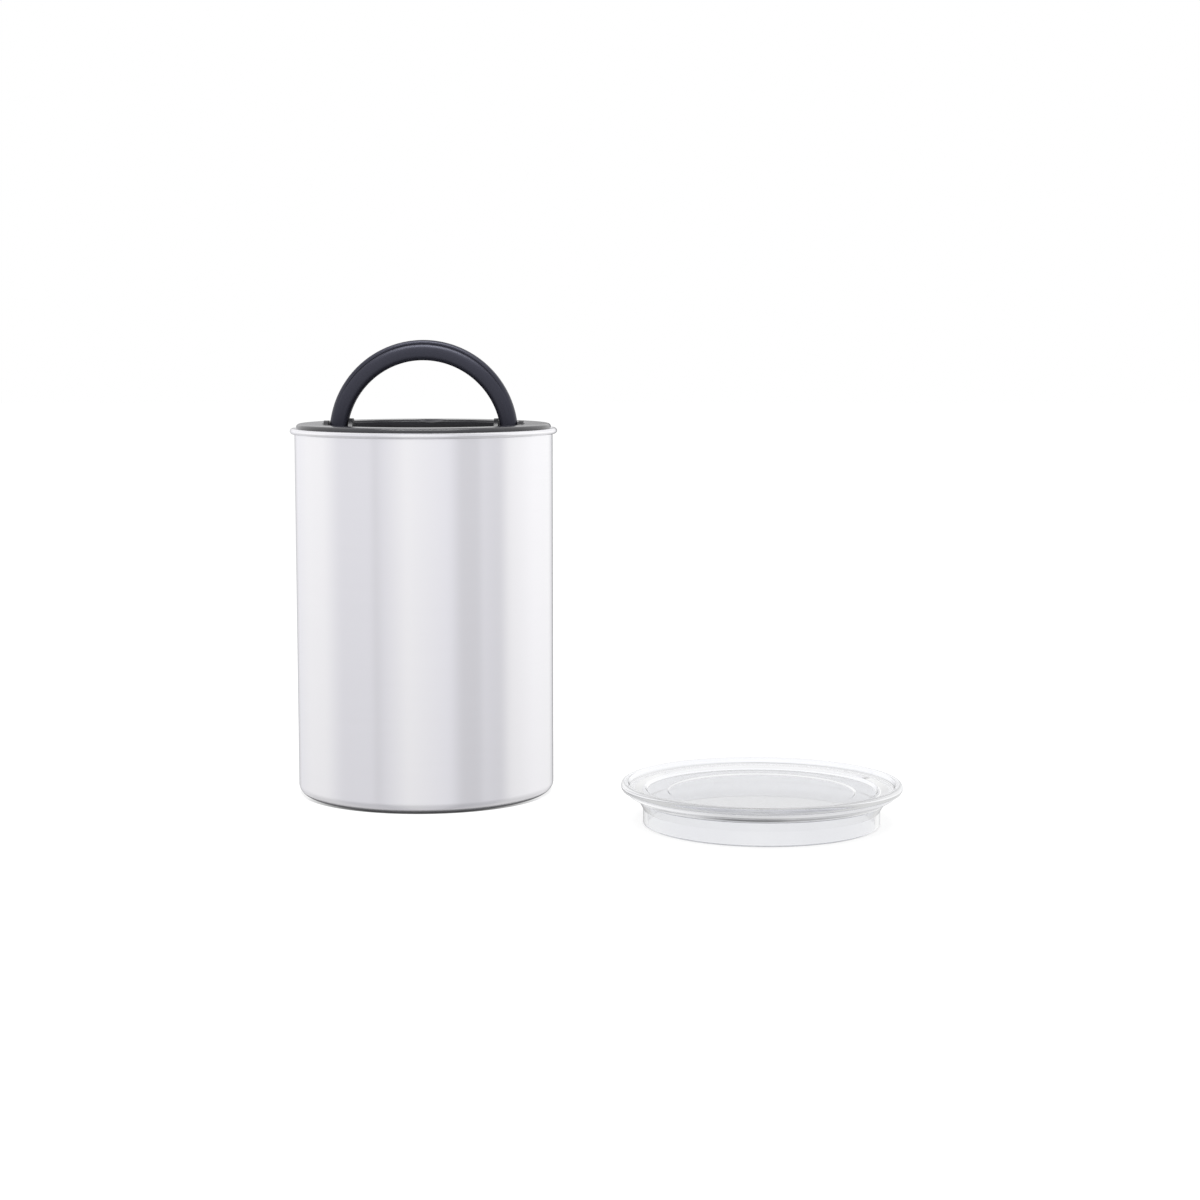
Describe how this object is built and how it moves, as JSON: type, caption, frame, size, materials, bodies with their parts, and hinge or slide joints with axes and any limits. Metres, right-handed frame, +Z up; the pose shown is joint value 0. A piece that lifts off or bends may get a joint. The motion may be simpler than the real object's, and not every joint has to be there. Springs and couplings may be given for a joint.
{
  "type": "coffee canister with valve",
  "caption": "Brushed steel canister whose black inner lid slides down the bore, vented by a valve worked by its folding bail handle, with a clear dished outer lid beside it.",
  "frame": {"origin": "on the canister's axis, on the surface that it stands on", "axes": "+Z up along the canister's axis; -Y is the front, and the clear lid lies towards +X"},
  "size_m": [0.2894, 0.2084, 0.2209],
  "materials": {
    "brushed_steel": "fine vertical and circumferential satin",
    "clear_plastic": "clear, glossy",
    "gloss_black": "glossy",
    "satin_black": "satin moulded",
    "handle_black": "semi-gloss moulded",
    "silicone": "soft matt",
    "fastener_steel": "bright"
  },
  "bodies": {
    "canister": {"canister_shell": "brushed_steel"},
    "inner_lid": {"inner_lid_top_ring": "gloss_black", "inner_lid_tray": "satin_black", "inner_lid_base_plate": "satin_black", "base_plate_screws": "fastener_steel", "wiper_gasket": "silicone", "handle_pin_right": "fastener_steel", "handle_pin_left": "fastener_steel", "valve_housing": "satin_black", "valve_housing_seal": "silicone", "valve_nut": "satin_black", "valve_spring": "fastener_steel"},
    "bail": {"handle": "handle_black"},
    "plunger": {"valve_bridge": "satin_black", "valve_stem": "fastener_steel", "valve_disc": "silicone", "valve_clip": "fastener_steel"},
    "outer_lid": {"clear_lid": "clear_plastic"}
  },
  "joints": [
    {"name": "inner_lid_slide", "type": "slide", "parent": "canister", "child": "inner_lid", "axis": [0, 0, 1], "range_m": [-0.14, 0.06]},
    {"name": "handle_fold", "type": "hinge", "parent": "inner_lid", "child": "bail", "pos_m": [0, 0, 0.1751], "axis": [-1, 0, 0], "range_deg": [0, 90]},
    {"name": "valve_lift", "type": "slide", "parent": "inner_lid", "child": "plunger", "axis": [0, 0, 1], "range_m": [0, 0.002], "deforming": ["valve_spring"]},
    {"name": "clear_lid_lift", "type": "slide", "parent": "canister", "child": "outer_lid", "axis": [0, 0, 1], "range_m": [0, 0.2]}
  ],
  "couplings": [
    {"joint": "valve_lift", "follows": "handle_fold", "m_per_rad": 0.00127}
  ]
}
